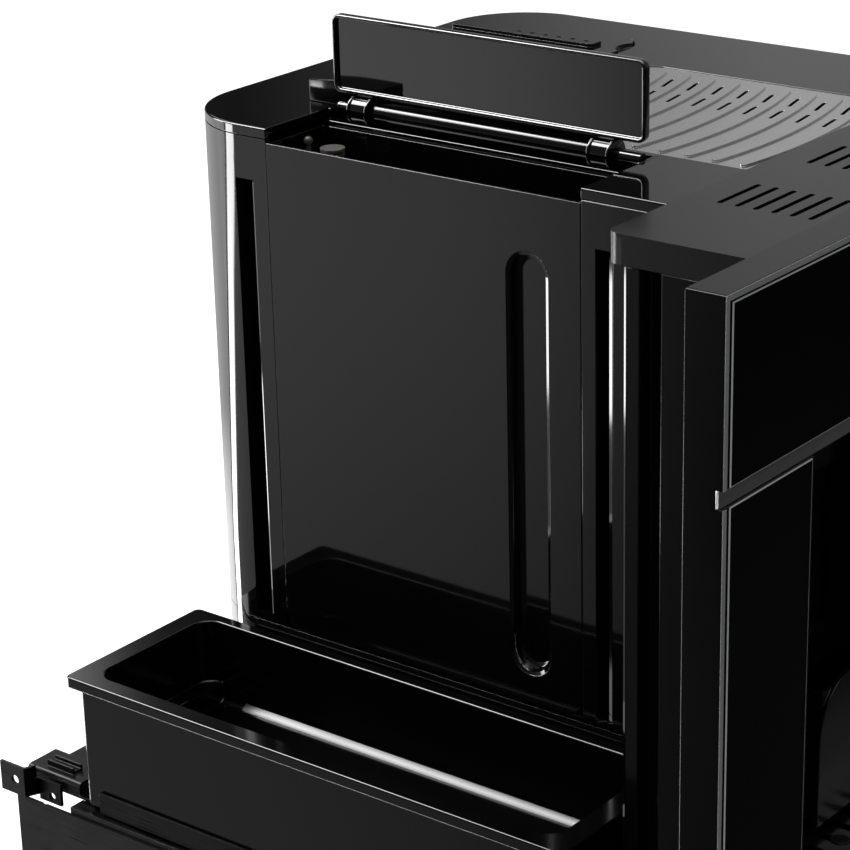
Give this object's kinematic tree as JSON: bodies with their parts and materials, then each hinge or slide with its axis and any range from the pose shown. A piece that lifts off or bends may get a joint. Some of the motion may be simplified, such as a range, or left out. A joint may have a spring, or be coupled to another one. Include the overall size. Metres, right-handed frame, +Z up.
{
  "type": "built-in coffee machine",
  "caption": "Pull-out built-in coffee machine with glass fascia, cup recess, side water tank under an open flap, ribbed cup tray, bean lid and a deep side tray on telescopic rails.",
  "frame": {"origin": "centre of the rectangle of four screw holes in the niche floor, on the floor", "axes": "+X to the right as seen from the front, +Y towards the back of the niche, +Z up; the fascia faces -Y"},
  "size_m": [0.595, 0.518, 0.501],
  "materials": {
    "zinc_sheet": "zinc-plated dark sheet steel",
    "rail_steel": "rolled steel, oiled",
    "bearing_steel": "hardened, polished",
    "fascia_metal": "anodised, fine brushed",
    "black_glass": "back-printed black glass",
    "trim_steel": "brushed lengthwise",
    "stainless": "pressed, satin",
    "grey_sheet": "satin dark grey powder coat",
    "recess_plastic": "satin moulded",
    "lamp_lens": "frosted lens",
    "black_plastic": "high-gloss moulded",
    "inner_plastic": "moulded, fine grain",
    "tank_plastic": "high-gloss black, moulded",
    "white_plastic": "moulded acetal",
    "motor_steel": "plated",
    "cast_aluminium": "die cast",
    "silicone": "extruded tube",
    "board": "lacquered laminate",
    "pan_plastic": "satin moulded"
  },
  "bodies": {
    "niche_frame": {"niche_brackets": "zinc_sheet", "rear_tie_bar": "zinc_sheet", "outer_rails": "rail_steel", "rail_rivets": "rail_steel"},
    "middle_slides": {"middle_rails": "rail_steel", "ball_cages": "bearing_steel"},
    "carriage": {"inner_rails": "rail_steel", "carriage_tray": "zinc_sheet", "carriage_rivets": "rail_steel", "rear_catches": "zinc_sheet", "fascia_frame": "fascia_metal", "upper_glass": "black_glass", "lower_glasses": "black_glass", "trim_strip": "trim_steel", "touch_display": "inner_plastic", "deck_cover": "grey_sheet", "side_columns": "grey_sheet", "recess_liner": "recess_plastic", "recess_lamps": "lamp_lens", "outlet_guide": "inner_plastic", "base_housing": "black_plastic", "rear_shell": "black_plastic", "front_pillars": "black_plastic", "front_wall": "inner_plastic", "service_panel": "black_plastic", "tank_bay": "inner_plastic", "top_shell": "black_plastic", "hinge_beam": "inner_plastic", "hinge_clamps": "black_plastic", "cup_tray": "stainless", "bean_hopper": "inner_plastic", "grinder_housing": "inner_plastic", "upper_burr": "bearing_steel", "grinder_motor": "motor_steel", "brew_frame": "inner_plastic", "brew_chamber": "inner_plastic", "brew_motor": "motor_steel", "thermoblock": "cast_aluminium", "water_pump": "motor_steel", "flow_meter": "white_plastic", "water_hoses": "silicone", "control_board": "board", "power_inlet": "inner_plastic", "case_screws": "rail_steel"},
    "flap": {"flap_panel": "black_plastic", "hinge_rod": "rail_steel"},
    "tank": {"water_tank": "tank_plastic", "level_sensor": "white_plastic"},
    "lid": {"bean_lid": "black_plastic"},
    "grind_knob": {"grind_adjuster": "inner_plastic"},
    "burr": {"lower_burr": "bearing_steel"},
    "piston": {"brew_piston": "inner_plastic"},
    "drive_nut": {"brew_gear": "white_plastic"},
    "outlet": {"coffee_outlet": "black_plastic", "outlet_spouts": "trim_steel"},
    "drip_drawer": {"drip_tray": "recess_plastic", "drip_grid": "trim_steel"},
    "fill_float": {"drip_float": "inner_plastic"},
    "grounds_drawer": {"grounds_box": "recess_plastic"},
    "side_tray": {"accessory_tray": "pan_plastic"}
  },
  "joints": [
    {"name": "machine_pull_out", "type": "slide", "parent": "niche_frame", "child": "carriage", "axis": [0, -1, 0], "range_m": [0, 0.38]},
    {"name": "middle_rail_slide", "type": "slide", "parent": "niche_frame", "child": "middle_slides", "axis": [0, -1, 0], "range_m": [0, 0.19]},
    {"name": "flap_hinge", "type": "hinge", "parent": "carriage", "child": "flap", "pos_m": [-0.1, 0, 0.447], "axis": [0, 1, 0], "range_deg": [-90, 0]},
    {"name": "tank_pull_out", "type": "slide", "parent": "carriage", "child": "tank", "axis": [-1, 0, 0], "range_m": [0, 0.2]},
    {"name": "bean_lid_lift", "type": "slide", "parent": "carriage", "child": "lid", "axis": [0, 0, 1], "range_m": [0, 0.06]},
    {"name": "grind_setting", "type": "hinge", "parent": "carriage", "child": "grind_knob", "pos_m": [0.093, 0.069, 0.42], "axis": [0, 0, 1], "range_deg": [-60, 60]},
    {"name": "burr_spin", "type": "hinge", "parent": "carriage", "child": "burr", "pos_m": [0.093, 0.125, 0.3], "axis": [0, 0, 1], "continuous": true},
    {"name": "piston_stroke", "type": "slide", "parent": "carriage", "child": "piston", "axis": [0, 0, -1], "range_m": [0, 0.028]},
    {"name": "drive_nut_spin", "type": "hinge", "parent": "carriage", "child": "drive_nut", "pos_m": [0.022, -0.02, 0.32], "axis": [0, 0, 1], "range_deg": [0, 2521]},
    {"name": "outlet_height", "type": "slide", "parent": "carriage", "child": "outlet", "axis": [0, 0, 1], "range_m": [0, 0.07]},
    {"name": "drip_drawer_slide", "type": "slide", "parent": "carriage", "child": "drip_drawer", "axis": [0, -1, 0], "range_m": [0, 0.13]},
    {"name": "fill_float_rise", "type": "slide", "parent": "drip_drawer", "child": "fill_float", "axis": [0, 0, 1], "range_m": [0, 0.004]},
    {"name": "grounds_drawer_slide", "type": "slide", "parent": "carriage", "child": "grounds_drawer", "axis": [0, -1, 0], "range_m": [0, 0.27]},
    {"name": "side_tray_lift", "type": "slide", "parent": "carriage", "child": "side_tray", "axis": [0, 0, 1], "range_m": [0, 0.43]}
  ],
  "couplings": [
    {"joint": "middle_rail_slide", "follows": "machine_pull_out", "ratio": 0.5},
    {"joint": "drive_nut_spin", "follows": "piston_stroke", "rad_per_m": 1570.8}
  ]
}
